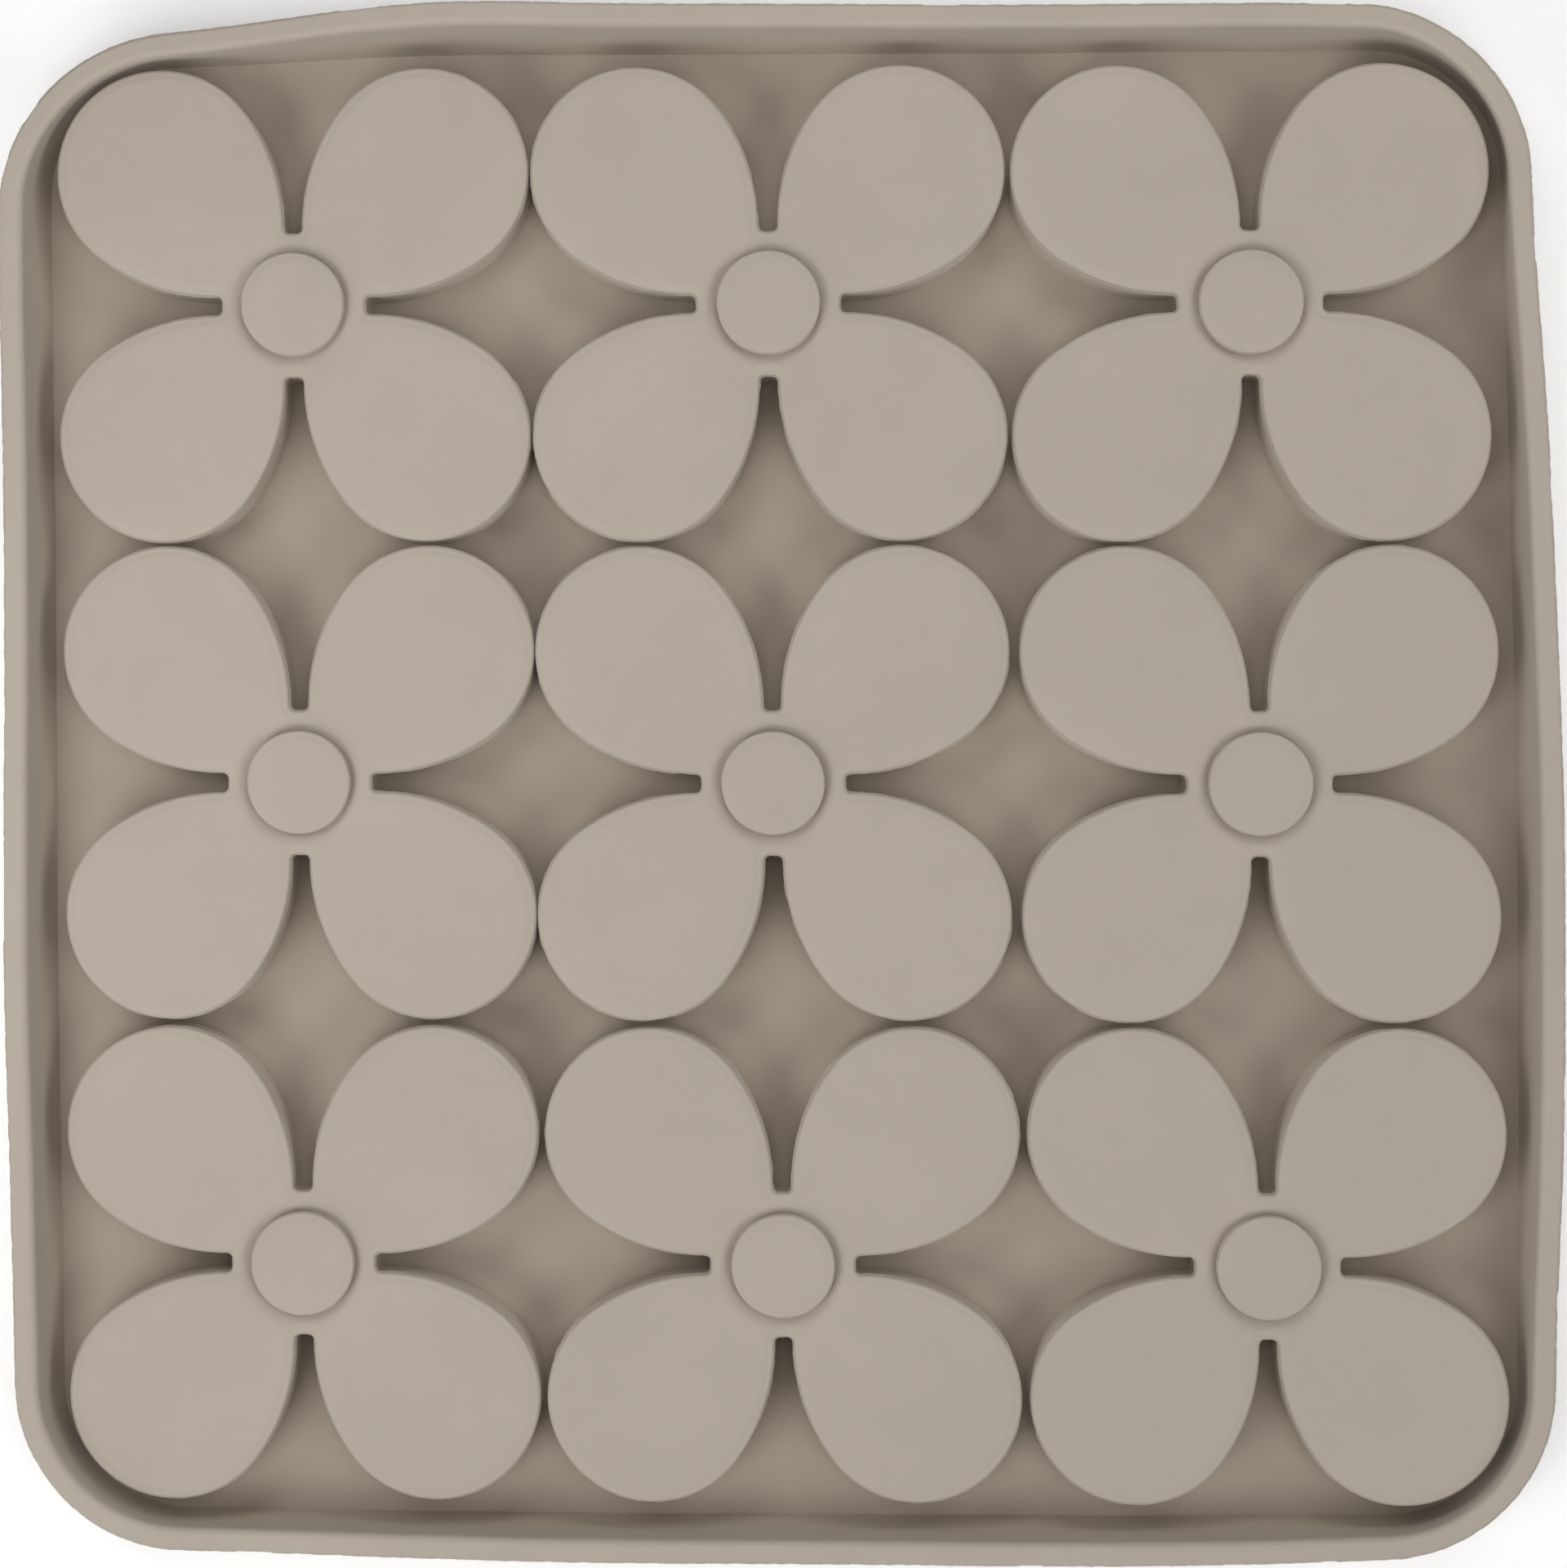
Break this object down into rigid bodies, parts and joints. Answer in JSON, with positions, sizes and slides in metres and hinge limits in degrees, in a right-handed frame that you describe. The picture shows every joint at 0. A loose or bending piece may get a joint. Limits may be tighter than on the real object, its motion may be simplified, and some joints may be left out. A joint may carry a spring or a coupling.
{
  "type": "silicone soap mould",
  "caption": "Square silicone soap mould lying on its pour face: hollow four-petal flower cups with round raised bosses inside a rounded wall.",
  "frame": {"origin": "centre of the flat pour face, which is also the bottom of the bounding box", "axes": "+Z out of the underside, so the part lies on its pour face with the flower cups up, as pictured; turn it over to pour. +X and +Y run along the sides, with flower row 1 at +Y and column 1 at -X"},
  "size_m": [0.1934, 0.1934, 0.013],
  "materials": {
    "silicone": "matt, soft-touch, taupe"
  },
  "bodies": {
    "root": {"base_web": "silicone", "side_wall": "silicone", "top_rim": "silicone", "flower_cup_r1c1": "silicone", "flower_cup_r1c2": "silicone", "flower_cup_r1c3": "silicone", "flower_cup_r2c1": "silicone", "flower_cup_r2c2": "silicone", "flower_cup_r2c3": "silicone", "flower_cup_r3c1": "silicone", "flower_cup_r3c2": "silicone", "flower_cup_r3c3": "silicone", "centre_boss_r1c1": "silicone", "centre_boss_r1c2": "silicone", "centre_boss_r1c3": "silicone", "centre_boss_r2c1": "silicone", "centre_boss_r2c2": "silicone", "centre_boss_r2c3": "silicone", "centre_boss_r3c1": "silicone", "centre_boss_r3c2": "silicone", "centre_boss_r3c3": "silicone"}
  },
  "joints": []
}
